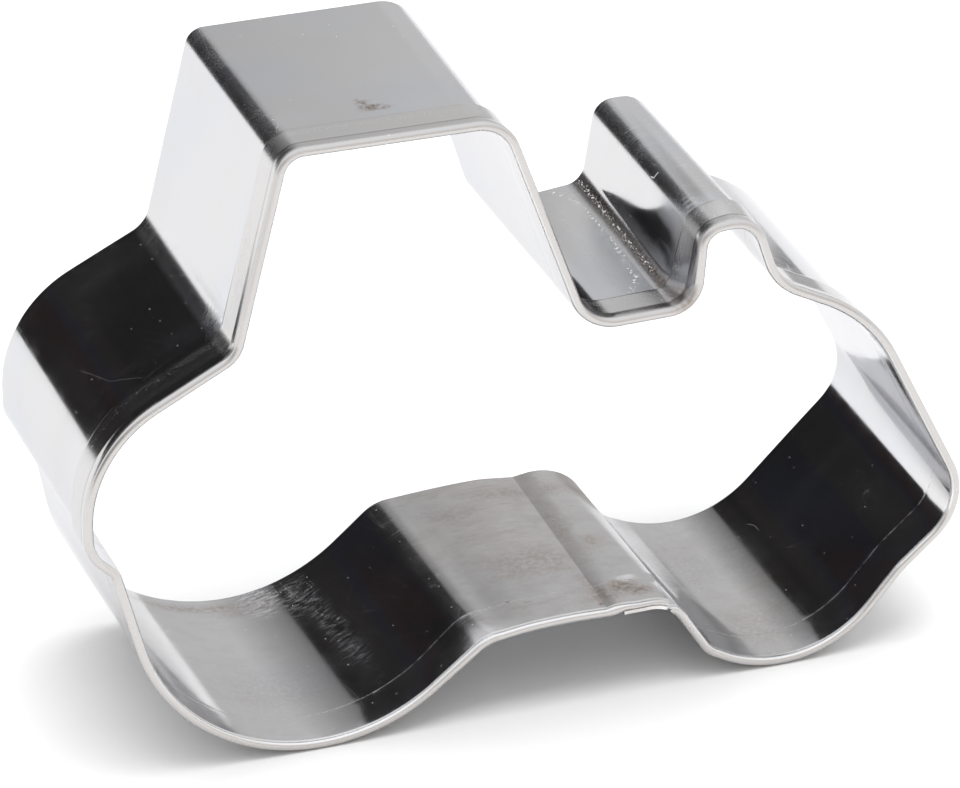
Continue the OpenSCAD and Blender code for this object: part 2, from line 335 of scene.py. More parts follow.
def step_counts():
    """Number of steps round each pin, and on the straight run after it."""
    after = belt_angles(NEAR_PINS)
    n = len(NEAR_PINS)
    arcs = []
    for i in range(n):
        turn = abs((after[i] - after[i - 1] + math.pi) % (2 * math.pi) - math.pi)
        length = turn * abs(NEAR_PINS[i][2])
        by_angle, by_length = int(math.degrees(turn) / STEP_DEGREES), int(length / PIN_STEP)
        arcs.append(max(PIN_STEPS, by_angle, by_length))
    ends = [arc_points(NEAR_PINS, i, 1)[0] for i in range(n)]
    lengths = [np.linalg.norm(ends[(i + 1) % n][0] - ends[i][1]) for i in range(n)]
    return arcs, [max(3, int(length / RUN_STEP)) for length in lengths]


def smooth(x, a, b):
    """0 up to a, 1 from b on, and a soft step between."""
    t = np.clip((x - a) / (b - a), 0, 1)
    return t * t * (3 - 2 * t)


def joggle(x):
    """Rise of the joggle from 0 to 1: a crisp corner, a short ramp, and a long soft landing."""
    t = np.clip((x - JOGGLE_START) / (JOGGLE_END - JOGGLE_START), 0, 1)
    slope = 2 / (1 + JOGGLE_RAMP)
    rest = np.clip(t - JOGGLE_RAMP, 0, 1)
    return slope * (t - rest * rest / (2 * (1 - JOGGLE_RAMP)))


def crown(column, blur):
    """Heights of the belly's bulge on CROWN_X."""
    sharp = np.interp(CROWN_X, CROWN[:, 0], CROWN[:, column])
    return np.convolve(sharp, np.ones(blur) / blur, "same")


CROWN_NEAR = crown(1, NEAR_BLUR)
CROWN_FAR = crown(2, FAR_BLUR)


def stations():
    """Every station of the strip from the outer end to the inner one, and its s. points and
    headings are on the three rails; the columns of form are lift, drop of the hem, fold gap, share
    of the fold kept, and the number of the pin or run."""
    arcs, runs = step_counts()
    belly = len(NEAR_PINS) - 1
    made = [rail(pins, arcs, runs) for pins in RAILS]
    owner = made[0][2]
    body = owner < belly + 0.25
    heads = [m[3][0][0][0] for m in made]
    rears = [m[3][belly][0][-1] for m in made]
    flat = [belt_angles(pins)[-1] for pins in RAILS]
    points, headings, form = [], [], []

    def add(p, t, lift=0.0, drop=0.0, gap=FOLD_GAP, kept=1.0, tag=BELLY_RUN):
        k = len(p[0])
        points.append(np.stack(p, 1))
        headings.append(np.stack([np.broadcast_to(np.asarray(v, float), (k,)) for v in t], 1))
        cols = [np.broadcast_to(np.asarray(v, float), (k,)) for v in (lift, drop, gap, kept, tag)]
        form.append(np.column_stack(cols))

    def on_belly(xs, skew):
        """Points on the level run under the belly. skew moves the far end of each line towards the
        nose; past the start of the joggle the lines close up, so that each rail ends where its bend
        begins."""
        out = []
        reach = (xs - rears[0][0]) / (heads[0][0] - rears[0][0])
        mix = smooth(xs, *LEAN_SPAN)
        room = heads[0][0] - JOGGLE_START
        past = np.clip((xs - JOGGLE_START) / room, 0, 1)
        for a, b, y in zip(rears, heads, RAIL_Y):
            lean = skew * (y - NEAR_Y) / WIDTH
            leaning = xs + lean + (b[0] - heads[0][0] - lean) * past * past
            x = (a[0] + (b[0] - a[0]) * reach) * (1 - mix) + leaning * mix
            out.append(np.stack([x, a[1] + (b[1] - a[1]) * (x - a[0]) / (b[0] - a[0])], 1))
        return out

    # Outer end: its hem is dropped to make room, and cut off where the inner end lies on it
    first = heads[0][0]
    xs = np.linspace(LAP_X, first, OUTER_STEPS)[:-1]
    add(on_belly(xs, OUTER_SKEW), flat, lift=LIFT * (joggle(xs) - 1), drop=DROP, kept=0.0)
    turned = np.abs(made[0][1][body] - made[0][1][0])
    returned = np.clip((turned - LAP_TURN) / (DROP_TURN - LAP_TURN), 0, 1)
    kept = np.where(owner[body] == 0, returned, 1.0)
    add([m[0][body] for m in made], [m[1][body] for m in made],
        drop=DROP * (1 - smooth(kept, 0, 1)), kept=kept, tag=owner[body])
    # Inner end: along the belly, up the joggle and over the outer end
    xs = np.concatenate([
        np.linspace(rears[0][0], FINE_SPAN[0], BELLY_STEPS)[1:],
        np.linspace(*FINE_SPAN, FINE_STEPS)[1:],
        np.linspace(FINE_SPAN[1], first, LAST_STEPS)[1:-1],
    ])
    lift = LIFT * joggle(xs)
    sink = HEM_SINK * smooth(xs, *SINK_SPAN)
    below = FOLD_GAP + (HEM_SINK - SHEET - FOLD_GAP) * smooth(xs, *CLOSE_SPAN)
    add(on_belly(xs, INNER_SKEW), flat, lift=lift, drop=sink, gap=below + lift - sink)
    turns = np.interp(RAIL_Y, (NEAR_Y, FAR_Y), (LAP_TURN, LAP_TURN_FAR))
    ends = [arc_part(pins, 0, t, -turn, TURN_STEPS) for pins, t, turn in zip(RAILS, flat, turns)]
    add([e[0] for e in ends], [e[1] for e in ends],
        lift=LIFT, drop=HEM_SINK, gap=LAP_GAP, tag=0.0)

    points, headings, form = (np.concatenate(v) for v in (points, headings, form))
    steps = np.linalg.norm(np.diff(points[:, 0], axis=0), axis=1)
    keep = np.concatenate([[True], steps > 1e-4])
    points, headings, form = points[keep], headings[keep], form[keep]
    steps = np.linalg.norm(np.diff(points[:, 0], axis=0), axis=1)
    return points, headings, form, np.concatenate([[0], np.cumsum(steps)])


# ------------------------------------------------------------------ cross-section
WALL, FOLD, FLANGE = range(3)
# Distances from a cut edge of the points in its rounding
EDGE_POINTS = np.array([0.0, 0.012, 0.035, EASE])
FOLD_STEPS = 16


def centre_line(drop, gap, kept=1.0, marked=1.0):
    """Middle of the sheet as outwards and y, from the cutting edge to the flange's edge, and which
    part of the section each point is on."""
    wall = np.concatenate([
        FAR_Y - np.append(EDGE_POINTS, (0.2, 0.5)),
        np.linspace(FAR_Y - 1.0, FLANGE_Y + 1.6, 40),
        np.linspace(FLANGE_Y + 1.4, FLANGE_Y - 0.4, 22),
        np.linspace(FLANGE_Y - 0.6, FOLD_Y + 1.0, 8),
        np.linspace(FOLD_Y + 0.85, FOLD_Y, 8),
    ])
    reach = np.clip((FLANGE_Y - wall) / (FLANGE_Y - FOLD_Y), 0, 1)
    n = (drop * (1 - smooth(wall, FLANGE_Y - 0.4, FLANGE_Y + 1.0))
         - marked * HEM_BOW * np.sin(math.pi * reach)
         - marked * CREASE * np.exp(-((wall - FLANGE_Y) / CREASE_HALF) ** 2))
    r = (SHEET + gap) / 2
    ry = FOLD_R - HALF
    a = np.linspace(0, math.pi, FOLD_STEPS + 1)[1:-1]
    fold_n, fold_y = drop + r * (1 - np.cos(a)), FOLD_Y - ry * np.sin(a)
    bare = 1 - smooth(kept, 0.0, 0.4)
    step = np.arange(1, len(a) + 1)
    bare_y = FOLD_Y - BARE_STEP * np.minimum(step, BARE_STEPS) - 0.002 * step
    fold_y += bare * (bare_y - fold_y)
    fold_n += bare * (drop - fold_n)
    tail = np.concatenate([
        np.linspace(FOLD_Y, FOLD_Y + HEM_TAPER, 9),
        np.linspace(FOLD_Y + HEM_TAPER + 0.2, FLANGE_Y - 0.2, 9),
        FLANGE_Y - EDGE_POINTS[::-1],
    ])
    closed = min(gap, FLANGE_GAP)
    reach = np.clip((tail - FOLD_Y) / HEM_TAPER, 0, 1)
    flange_n = drop + SHEET + (closed + (gap - closed) * (1 - reach ** 2))
    n = np.concatenate([n, fold_n, flange_n])
    y = np.concatenate([wall, fold_y, tail])
    return n, y, np.repeat([WALL, FOLD, FLANGE], [len(wall), len(a), len(tail)])


def section(drop, gap, kept=1.0, marked=1.0):
    """Both faces of the sheet, from the cutting edge: inner face of the wall round to the outer
    face of the flange, and outer face of the wall round to the flange's inside."""
    n, y, tags = centre_line(drop, gap, kept, marked)
    tn, ty = np.gradient(n), np.gradient(y)
    length = np.hypot(tn, ty)
    tn, ty = tn / length, ty / length
    to_edge = np.minimum(np.where(tags == WALL, np.abs(y - FAR_Y), WIDTH),
                         np.where(tags == FLANGE, np.abs(y - FLANGE_Y), WIDTH))
    k = np.clip(1 - to_edge / EASE, 0, 1)
    half = HALF * (EDGE_LEFT + (1 - EDGE_LEFT) * np.sqrt(np.clip(1 - k * k, 0, 1)))
    inner = (n + half * ty, np.maximum(y - half * tn, NEAR_Y))
    outer = (n - half * ty, np.maximum(y + half * tn, NEAR_Y))
    return inner, outer, tags


def unrolled():
    """Place across the strip as if the hem were unfolded: from FAR_Y down past NEAR_Y."""
    n, y, _ = centre_line(0.0, FOLD_GAP)
    return FAR_Y - np.concatenate([[0], np.cumsum(np.hypot(np.diff(n), np.diff(y)))])


def wave(x, y, seed):
    """Smooth made-up waviness between about -1 and 1, with waves of 12 mm and longer."""
    rng = np.random.default_rng(seed)
    out = np.zeros(np.broadcast(x, y).shape)
    for _ in range(9):
        fx, fy = rng.uniform(-0.085, 0.085), rng.uniform(-0.06, 0.06)
        out += np.sin(2 * math.pi * (fx * x + fy * y) + rng.uniform(0, 6.3))
    return out / 4.5


def across(y):
    """Shares of the three rails at y: straight from near to far, plus what the middle one adds."""
    t, m = (y - NEAR_Y) / WIDTH, (MID_Y - NEAR_Y) / WIDTH
    u = np.clip(t / m, 0, 1)
    k = np.where(t < m, u * (2 - u), (1 - t) / (1 - m))
    return np.stack([(1 - t) - k * (1 - m), k, t - k * m], -1)


def surface(points, headings, form, s, i, cut):
    """Points of one face of the sheet at station i, where cut is that face in the cross-section."""
    n, y = cut
    share = across(y)
    x, z = share @ points[i, :, 0], share @ points[i, :, 1]
    if form[i, 4] == BELLY_RUN:
        t = (y - NEAR_Y) / WIDTH
        near, far = np.interp(x, CROWN_X, CROWN_NEAR), np.interp(x, CROWN_X, CROWN_FAR)
        z = z + near * (1 - t) + far * t
    turn = share @ headings[i]
    lift = form[i, 0]
    inner = lift > LIFT / 2
    outer = s[i] < OUTER_LAP
    away = min(s[i], s[-1] - s[i])
    free = HEM_RIPPLE + (1 - HEM_RIPPLE) * smooth(y, FOLD_Y, FLANGE_Y + 2)
    free = float(smooth(away, *RIPPLE_SPAN)) * free
    out = n - lift - RIPPLE * (0.5 + 0.5 * wave(s[i], y, 3)) * free
    if inner or outer:
        for wx, wy, _ in WELDS:
            hollow = np.exp(-((x - wx) ** 2 + (y - wy) ** 2) / DIMPLE_R ** 2)
            out = out + hollow * (DIMPLE if inner else -0.6 * DIMPLE) * (n < HALF + 0.1)
    return np.stack([x + out * np.sin(turn), y, z - out * np.cos(turn)], 1)


def blots(along, over, side, spots):
    """Strength of soft-edged spots, each a flattened hill, at every place of the strip."""
    out = np.zeros(len(along))
    for where, s, y, long, wide, amount in spots:
        r2 = ((along - s) / long) ** 2 + ((over - y) / wide) ** 2
        out = np.maximum(out, amount * np.exp(-r2 * r2 / (1 + r2)) * (side == where))
    return out


def beside_lines(along, over):
    """How near each place of the unrolled strip is to a row of flecks: 1 on it, 0 at half-width."""
    near = np.zeros(len(along))
    here = np.column_stack([along, over])
    for half, *line in FLECKS:
        for a, b in zip(np.array(line), np.array(line[1:])):
            t = np.clip((here - a) @ (b - a) / ((b - a) @ (b - a)), 0, 1)
            away = np.linalg.norm(here - a - t[:, None] * (b - a), axis=1)
            near = np.maximum(near, 1 - away / half)
    return near


def add_marks(mesh, along, over, side, tight):
    """What the finish needs at every point: its place on the strip with its side, how tight the
    bend is there, and the marks, one spot of which is painted shade. The UV map is the unrolled
    strip."""
    place = np.column_stack([along, over])
    strip = mesh.attributes.new("strip", "FLOAT_VECTOR", "POINT")
    strip.data.foreach_set("vector", np.column_stack([place, side]).ravel())
    bend = mesh.attributes.new("bend", "FLOAT", "POINT")
    bend.data.foreach_set("value", tight)
    marks = [blots(along, over, side, spots) for spots in (BROWN, DUST_AND_SHADE, SCUFFED, RUBBED)]
    marks_and_shade = mesh.attributes.new("marks_and_shade", "FLOAT_COLOR", "POINT")
    marks_and_shade.data.foreach_set("color", np.column_stack(marks).ravel())
    flecks = mesh.attributes.new("flecks", "FLOAT", "POINT")
    flecks.data.foreach_set("value", beside_lines(along, over) * (side == OUTER))
    uv = mesh.uv_layers.new(name="strip_map")
    loops = np.zeros(len(mesh.loops), int)
    mesh.loops.foreach_get("vertex_index", loops)
    uv.data.foreach_set("uv", (place[loops] / WIDTH).ravel())


def make_band():
    """The strip as one closed mesh: a grid of points on each face, joined along all edges."""
    points, headings, form, s = stations()
    count = len(s)
    crease = np.ones(count)
    for lost, a, b, c, d in FAINT_CREASE:
        crease = crease - lost * smooth(s, a, b) * (1 - smooth(s, c, d))
    cuts = [section(*row[1:4], share) for row, share in zip(form, crease)]
    tags = cuts[0][2]
    m = len(tags)
    lip = int(np.argmax(tags == FOLD)) + BARE_STEPS - 1
    past = int(np.argmax(tags == FLANGE))
    ends = [m - 1 if kept >= 1 else lip + int(kept * (past - lip)) for kept in form[:, 3]]
    ends = np.minimum(ends[:-1], ends[1:])
    grid = np.array([[surface(points, headings, form, s, i, cuts[i][side]) for i in range(count)]
                     for side in (0, 1)])
    verts = grid.reshape(-1, 3)

    def v(side, i, j):
        return (side * count + i) * m + j

    # Both faces, the cutting edge and the hem's edge
    faces = []
    for i, last in enumerate(ends):
        for j in range(last):
            faces.append((v(0, i, j), v(0, i, j + 1), v(0, i + 1, j + 1), v(0, i + 1, j)))
            faces.append((v(1, i, j), v(1, i + 1, j), v(1, i + 1, j + 1), v(1, i, j + 1)))
        faces.append((v(0, i, 0), v(0, i + 1, 0), v(1, i + 1, 0), v(1, i, 0)))
        faces.append((v(0, i, last), v(1, i, last), v(1, i + 1, last), v(0, i + 1, last)))
    # Edges across the strip: the outer end with the steps where its fold and flange begin, and the
    # inner end
    before = 0
    for i, last in enumerate(ends):
        for j in range(before, last):
            faces.append((v(0, i, j), v(1, i, j), v(1, i, j + 1), v(0, i, j + 1)))
        before = last
    i = count - 1
    for j in range(m - 1):
        faces.append((v(0, i, j), v(0, i, j + 1), v(1, i, j + 1), v(1, i, j)))

    used = np.zeros(len(verts), bool)
    used[np.array(faces).ravel()] = True
    index = np.cumsum(used) - 1
    faces = [tuple(int(index[k]) for k in f) for f in faces]
    mesh = bpy.data.meshes.new("steel_band_formed")
    mesh.from_pydata((verts[used] * MM).tolist(), [], faces)
    mesh.validate()

    radii = [abs(NEAR_PINS[int(t)][2]) if t == int(t) else math.inf for t in form[:, 4]]
    tight = np.convolve([1 / (1 + r) for r in radii], np.ones(7) / 7, "same")
    add_marks(
        mesh,
        along=np.tile(np.repeat(s, m), 2)[used],
        over=np.tile(unrolled(), 2 * count)[used],
        side=np.repeat([INNER, OUTER], count * m)[used],
        tight=np.tile(np.repeat(tight, m), 2)[used],
    )
    mesh.set_sharp_from_angle(angle=math.radians(40))
    obj = bpy.data.objects.new("steel_band_formed", mesh)
    bpy.context.collection.objects.link(obj)
    return obj


# ------------------------------------------------------------------ materials
# Colours of the steel and of what lies on it, among them painted highlight and shade; tints of its
# reflections, one of them painted shade; roughness where it is clean
STEEL = (0.615, 0.615, 0.622, 1)
STEEL_COOL = (0.585, 0.598, 0.64, 1)
STEEL_WARM = (0.595, 0.573, 0.552, 1)
# Dust film and grime; at the lap's inner end both colours are painted shade
FILM_AND_SHADE = (0.42, 0.40, 0.382, 1)
DIRT_AND_SHADE = (0.335, 0.295, 0.27, 1)
# Darker colour of the hem: painted shade on the fold, and given more weakly to the flange
HEM_TONE_AND_SHADE = (0.56, 0.545, 0.53, 1)
# Painted shade for the front of the fold
HEM_FRONT_SHADE = (0.54, 0.525, 0.515, 1)
# Painted highlight: bright colour for the top band of the fold, standing in for the white line it
# reflects
BEAD_HIGHLIGHT = (0.84, 0.835, 0.83, 1)
# Painted shade for the line along the hem's kink
KINK_SHADE = (0.38, 0.355, 0.335, 1)
SCUFF = (0.78, 0.78, 0.80, 1)
BURNT = (0.24, 0.175, 0.135, 1)
CHIP = (0.8, 0.8, 0.78, 1)
TINT = (0.80, 0.80, 0.81, 1)
# Painted shade: a darker tint for the reflections at the lap's inner end
TINT_SHADE = (0.45, 0.44, 0.43, 1)
POLISH = 0.055
# Colours of the welds, the black flag and the table
WELD_STRAW = (0.55, 0.47, 0.40, 1)
WELD_BLUE = (0.48, 0.50, 0.58, 1)
WELD_BROWN = (0.30, 0.25, 0.22, 1)
FLAG = (0.011, 0.011, 0.012, 1)
FLAG_PALE = (0.022, 0.020, 0.019, 1)
FLAG_RED = (0.030, 0.015, 0.015, 1)
FLAG_BLUE = (0.014, 0.017, 0.030, 1)
TABLE = (0.93, 0.93, 0.93, 1)


class Graph:
    """A small helper round a node tree: g.add('ShaderNodeMath', a, b, operation='ADD')."""

    def __init__(self, name, shader="ShaderNodeBsdfPrincipled"):
        self.mat = bpy.data.materials.new(name)
        self.mat.use_nodes = True
        self.tree = self.mat.node_tree
        self.tree.nodes.clear()
        self.shader = self.tree.nodes.new(shader)
        out = self.tree.nodes.new("ShaderNodeOutputMaterial")
        self.tree.links.new(self.shader.outputs[0], out.inputs[0])

    def add(self, kind, *values, out=0, **props):
        node = self.tree.nodes.new(kind)
        for k, v in props.items():
            setattr(node, k, v)
        for i, v in enumerate(values):
            self.put(node.inputs[i], v)
        return node.outputs[out]

    def put(self, socket, v):
        if v is None:
            return
        if isinstance(v, bpy.types.NodeSocket):
            self.tree.links.new(v, socket)
        else:
            socket.default_value = v

    def math(self, op, a, b=None, c=None, clamp=False):
        return self.add("ShaderNodeMath", a, b, c, operation=op, use_clamp=clamp)

    def vec(self, op, a, b=None, out=0):
        return self.add("ShaderNodeVectorMath", a, b, operation=op, out=out)

    def total(self, *terms):
        """Sum of values, each a socket or a (socket, weight) pair."""
        out = None
        for term in terms:
            value, weight = term if isinstance(term, tuple) else (term, 1.0)
            out = self.math("MULTIPLY_ADD", value, weight, 0.0 if out is None else out)
        return out

    def most(self, *terms):
        out = terms[0]
        for term in terms[1:]:
            out = self.math("MAXIMUM", out, term)
        return out

    def noise(self, vector, scale, detail, rough):
        node = self.tree.nodes.new("ShaderNodeTexNoise")
        self.put(node.inputs["Vector"], vector)
        node.inputs["Scale"].default_value = scale
        node.inputs["Detail"].default_value = detail
        node.inputs["Roughness"].default_value = rough
        return node.outputs[0]

    def ramp(self, value, a, b, lo=0.0, hi=1.0, smoothstep=True):
        node = self.tree.nodes.new("ShaderNodeMapRange")
        node.interpolation_type = "SMOOTHSTEP" if smoothstep else "LINEAR"
        for i, v in enumerate((value, a, b, lo, hi)):
            self.put(node.inputs[i], v)
        return node.outputs[0]

    def window(self, value, a, b, c, d):
        """0 up to a, 1 from b to c, and 0 again from d on."""
        return self.math("MULTIPLY", self.ramp(value, a, b), self.ramp(value, c, d, 1.0, 0.0))

    def mix(self, fac, a, b):
        node = self.tree.nodes.new("ShaderNodeMix")
        node.data_type = "RGBA"
        self.put(node.inputs[0], fac)
        self.put(node.inputs[6], a)
        self.put(node.inputs[7], b)
        return node.outputs[2]

    def set(self, name, v):
        self.put(self.shader.inputs[name], v)

    def stroke(self, place, a, b, half, soft):
        """1 within half of the line from a to b on the unrolled strip, fading out over soft."""
        a, d = np.array(a, float), np.array(b, float) - np.array(a, float)
        away = self.vec("SUBTRACT", place, tuple(a))
        t = self.vec("DOT_PRODUCT", away, tuple(d / (d @ d)), out=1)
        t = self.math("ADD", t, 0.0, clamp=True)
        along = self.tree.nodes.new("ShaderNodeVectorMath")
        along.operation = "SCALE"
        along.inputs[0].default_value = tuple(d)
        self.put(along.inputs[3], t)
        away = self.vec("SUBTRACT", away, along.outputs[0])
        return self.ramp(self.vec("LENGTH", away, out=1), half, half + soft, 1.0, 0.0)

    def hairs(self, place, angle, length, spacing, width, cover, seed):
        """Sparse thin lines at an angle in degrees, about so long and so far apart in mm: the level
        lines of a stretched noise, kept where a second noise is over cover."""
        turned = self.add("ShaderNodeVectorRotate", place, rotation_type="Z_AXIS")
        turned.node.inputs["Angle"].default_value = math.radians(angle)
        laid = self.vec("MULTIPLY", turned, (1 / length, 1 / spacing, 1.0))
        laid = self.vec("ADD", laid, (seed * 3.7, seed * 1.9, seed * 5.3))
        level = self.noise(laid, 1.0, 1.5, 0.5)
        away = self.math("ABSOLUTE", self.math("SUBTRACT", level, 0.5))
        line = self.ramp(away, 0.0, width, 1.0, 0.0)
        where = self.noise(self.vec("ADD", place, (seed * 11.0, 0.0, seed)), 0.16, 2.0, 0.6)
        return self.math("MULTIPLY", line, self.ramp(where, cover, cover + 0.12))


def steel_material():
    """The strip's mirror finish, with what handling and washing left on it, and painted highlight
    and shade on the rolled edge and at the lap's inner end.
    """
    g = Graph("polished_stainless")
    place = g.add("ShaderNodeAttribute", attribute_name="strip", out=1)
    bend = g.add("ShaderNodeAttribute", attribute_name="bend", out=2)
    # Marks from the mesh: brown, dust with one spot of painted shade, scuffed and rubbed
    marks_and_shade = g.add("ShaderNodeAttribute", attribute_name="marks_and_shade", out=1)
    brown, dust_and_shade, scuffed = g.add("ShaderNodeSeparateXYZ", marks_and_shade).node.outputs[:3]
    rubbed = marks_and_shade.node.outputs[3]
    over = g.add("ShaderNodeSeparateXYZ", place).node.outputs[1]

    def stretched(x, y, dz=0.0):
        """Place with its scale along and across the strip, moved by dz for a pattern of its own."""
        return g.vec("ADD", g.vec("MULTIPLY", place, (x, y, 1.0)), (0.0, 0.0, dz))

    def zone(a, b, soft):
        """1 where the place across the strip lies between a and b."""
        return g.window(over, a - soft, a, b, b + soft)

    fold = zone(*FOLD_ZONE)
    front = zone(*FRONT_ZONE)
    flange = g.ramp(over, -13.1, -12.9, 1.0, 0.0)
    kink = zone(*KINK_ZONE)
    rim = zone(*RIM_ZONE)
    bead = zone(*BEAD_HIGHLIGHT_ZONE)
    inside = zone(*INSIDE_ZONE)

    # Rolling grain along the strip, finger smudges, haze, mottling
    grain = g.noise(stretched(0.05, 5.0), 1.0, 3.0, 0.6)
    fine = g.noise(stretched(0.35, 14.0, 3.0), 1.0, 2.0, 0.6)
    smudge = g.ramp(g.noise(stretched(0.09, 0.13, 5.0), 1.0, 5.0, 0.62), 0.42, 0.72)
    haze = g.ramp(g.noise(stretched(0.22, 0.3, 9.0), 1.0, 6.0, 0.66), 0.5, 0.78)
    mottle = g.noise(stretched(2.6, 2.2, 2.0), 1.0, 4.0, 0.7)
    specks = g.ramp(mottle, 0.53, 0.66)
    streaks = g.ramp(g.noise(stretched(0.55, 3.2, 55.0), 1.0, 4.0, 0.65), 0.45, 0.75)
    blotch = g.ramp(g.noise(stretched(0.45, 0.5, 71.0), 1.0, 5.0, 0.65), 0.38, 0.68)

    # The crease that the flange's edge leaves in the wall
    line = g.math("MULTIPLY", zone(*LINE_ZONE), g.ramp(mottle, 0.35, 0.6, 0.25, 1.0))

    # Long faint hair scratches in several directions, single scratches, and rows of flecks
    hair = g.most(
        g.hairs(place, 3, 36, 1.6, 0.005, 0.46, 1),
        g.hairs(place, 86, 30, 1.9, 0.005, 0.48, 2),
        g.hairs(place, 41, 26, 2.3, 0.004, 0.52, 3),
        g.hairs(place, -57, 28, 2.6, 0.004, 0.52, 4),
    )
    nick = None
    for amount, *path in SCRATCHES:
        for a, b in zip(path, path[1:]):
            cut = g.math("MULTIPLY", g.stroke(place, a, b, STROKE_HALF, STROKE_SOFT), amount)
            nick = cut if nick is None else g.most(nick, cut)
    near = g.add("ShaderNodeAttribute", attribute_name="flecks", out=2)
    chips = g.noise(stretched(3.2, 2.6, 17.0), 1.0, 2.0, 0.6)
    flecks = g.math("MULTIPLY", near, g.ramp(g.total(chips, (near, 0.10)), 0.62, 0.68))

    # Bright dust and pits
    cell = g.tree.nodes.new("ShaderNodeTexVoronoi")
    cell.voronoi_dimensions = "2D"
    g.put(cell.inputs["Vector"], place)
    cell.inputs["Scale"].default_value = 0.42
    chosen = g.add("ShaderNodeSeparateColor", cell.outputs["Color"])
    chosen = g.ramp(chosen, 0.66, 1.0, smoothstep=False)
    pit = g.math("MULTIPLY", g.ramp(cell.outputs["Distance"], 0.008, 0.028, 1.0, 0.0), chosen)

    # Satin on the tight bends, and fine speckle wherever something rubbed
    satin = g.ramp(bend, 0.14, 0.30)
    sand = g.ramp(g.noise(stretched(5.0, 7.0, 12.0), 1.0, 2.0, 0.6), 0.52, 0.70)
    rub = g.math("MULTIPLY", zone(*RUB_ZONE), g.ramp(mottle, 0.45, 0.6))
    worn = g.total(
        (g.math("MULTIPLY", satin, sand), 0.18),
        (g.math("MULTIPLY", rim, sand), 0.5),
        (g.math("MULTIPLY", flange, grain), 0.25),
        (g.math("MULTIPLY", inside, g.math("MULTIPLY", specks, haze)), 0.45),
    )
    smear = g.ramp(g.noise(stretched(1.1, 3.0, 91.0), 1.0, 3.0, 0.6), 0.32, 0.70)
    scuff = g.most(g.math("MULTIPLY", scuffed, smear), g.math("MULTIPLY", rub, 0.25), worn)
    chip = g.most(pit, nick, flecks)

    rough = g.total(
        (smudge, 0.05), (haze, 0.045), (grain, 0.05), (scuff, 0.30), (hair, 0.10), (fold, 0.17),
        (flange, 0.02), (inside, 0.02), (chip, 0.3), (satin, 0.13), (brown, 0.12), (dust_and_shade, 0.02),
        (rubbed, 0.24), (line, 0.33),
    )
    g.set("Roughness", g.math("ADD", rough, POLISH))

    cool = g.ramp(g.noise(stretched(0.07, 0.09, 21.0), 1.0, 3.0, 0.5), 0.45, 0.7)
    warm = g.ramp(g.noise(stretched(0.08, 0.12, 33.0), 1.0, 4.0, 0.6), 0.45, 0.75)
    color = g.mix(g.math("MULTIPLY", cool, 0.6), STEEL, STEEL_COOL)
    color = g.mix(g.math("MULTIPLY", warm, 0.4), color, STEEL_WARM)
    # Film of dust and grime streaks; at the lap's inner end both are painted shade
    film_and_shade = g.math("MULTIPLY", dust_and_shade, g.math("ADD", g.math("MULTIPLY", blotch, 0.30), 0.48))
    color = g.mix(film_and_shade, color, FILM_AND_SHADE)
    dirt_and_shade = g.math("MULTIPLY", g.math("MULTIPLY", dust_and_shade, warm), g.math("MULTIPLY", streaks, 0.55))
    color = g.mix(dirt_and_shade, color, DIRT_AND_SHADE)
    # Painted shade over the fold
    color = g.mix(g.math("MULTIPLY", fold, 0.8), color, HEM_TONE_AND_SHADE)
    # Painted shade on the front of the fold
    color = g.mix(front, color, HEM_FRONT_SHADE)
    # Painted highlight along the top of the fold
    color = g.mix(g.math("MULTIPLY", bead, 0.8), color, BEAD_HIGHLIGHT)
    # The hem's darker colour, weaker, over the flange
    color = g.mix(g.math("MULTIPLY", flange, 0.6), color, HEM_TONE_AND_SHADE)
    # Painted shade along the hem's kink
    color = g.mix(g.math("MULTIPLY", kink, 0.8), color, KINK_SHADE)
    color = g.mix(g.math("MULTIPLY", scuff, 0.4), color, SCUFF)
    burnt = g.math("MULTIPLY", brown, g.ramp(mottle, 0.36, 0.60, 0.25, 1.0))
    color = g.mix(burnt, color, BURNT)
    color = g.mix(chip, color, CHIP)
    g.set("Base Color", color)
    # Painted shade: the reflections' tint darkens only where the dust marks go over 1, at the lap's
    # inner end
    g.set("Specular Tint", g.mix(g.ramp(dust_and_shade, 1.0, 1.4), TINT, TINT_SHADE))
    g.set("Metallic", g.math("SUBTRACT", 1.0, g.math("MULTIPLY", chip, 0.7)))

    # Heights in mm
    dent = g.noise(stretched(0.22, 0.16, 41.0), 1.0, 2.0, 0.5)
    height = g.total(
        (dent, 0.004), (grain, 0.0004), (fine, 0.00012), (hair, -0.0004), (mottle, 0.0002),
        (scuff, 0.0001), (pit, 0.004), (g.math("MULTIPLY", fold, fine), 0.0012),
    )
    bump = g.tree.nodes.new("ShaderNodeBump")
    bump.inputs["Strength"].default_value = 1.0
    bump.inputs["Distance"].default_value = MM
    g.put(bump.inputs["Height"], height)
    g.set("Normal", bump.outputs[0])
    return g.mat


def in_mm(g):
    """The object's own coordinates in mm."""
    return g.vec("MULTIPLY", g.add("ShaderNodeTexCoord", out=3), (1 / MM, 1 / MM, 1 / MM))


def weld_material():
    """Spot-weld metal: duller, with the brown and blue of the heat."""
    g = Graph("spot_weld_metal")
    place = in_mm(g)
    mottle = g.noise(place, 2.2, 5.0, 0.65)
    rings = g.noise(place, 0.9, 2.0, 0.5)
    color = g.mix(g.ramp(rings, 0.35, 0.65), WELD_STRAW, WELD_BLUE)
    color = g.mix(g.ramp(mottle, 0.5, 0.75), color, WELD_BROWN)
    g.set("Base Color", color)
    g.set("Metallic", 1.0)
    g.set("Roughness", g.ramp(mottle, 0.3, 0.7, 0.28, 0.5))
    bump = g.tree.nodes.new("ShaderNodeBump")
    bump.inputs["Distance"].default_value = MM
    g.put(bump.inputs["Height"], g.math("MULTIPLY", mottle, 0.02))
    g.set("Normal", bump.outputs[0])
    return g.mat


def table_material():
    g = Graph("floor")
    g.set("Base Color", TABLE)
    g.set("Roughness", 0.9)
    return g.mat


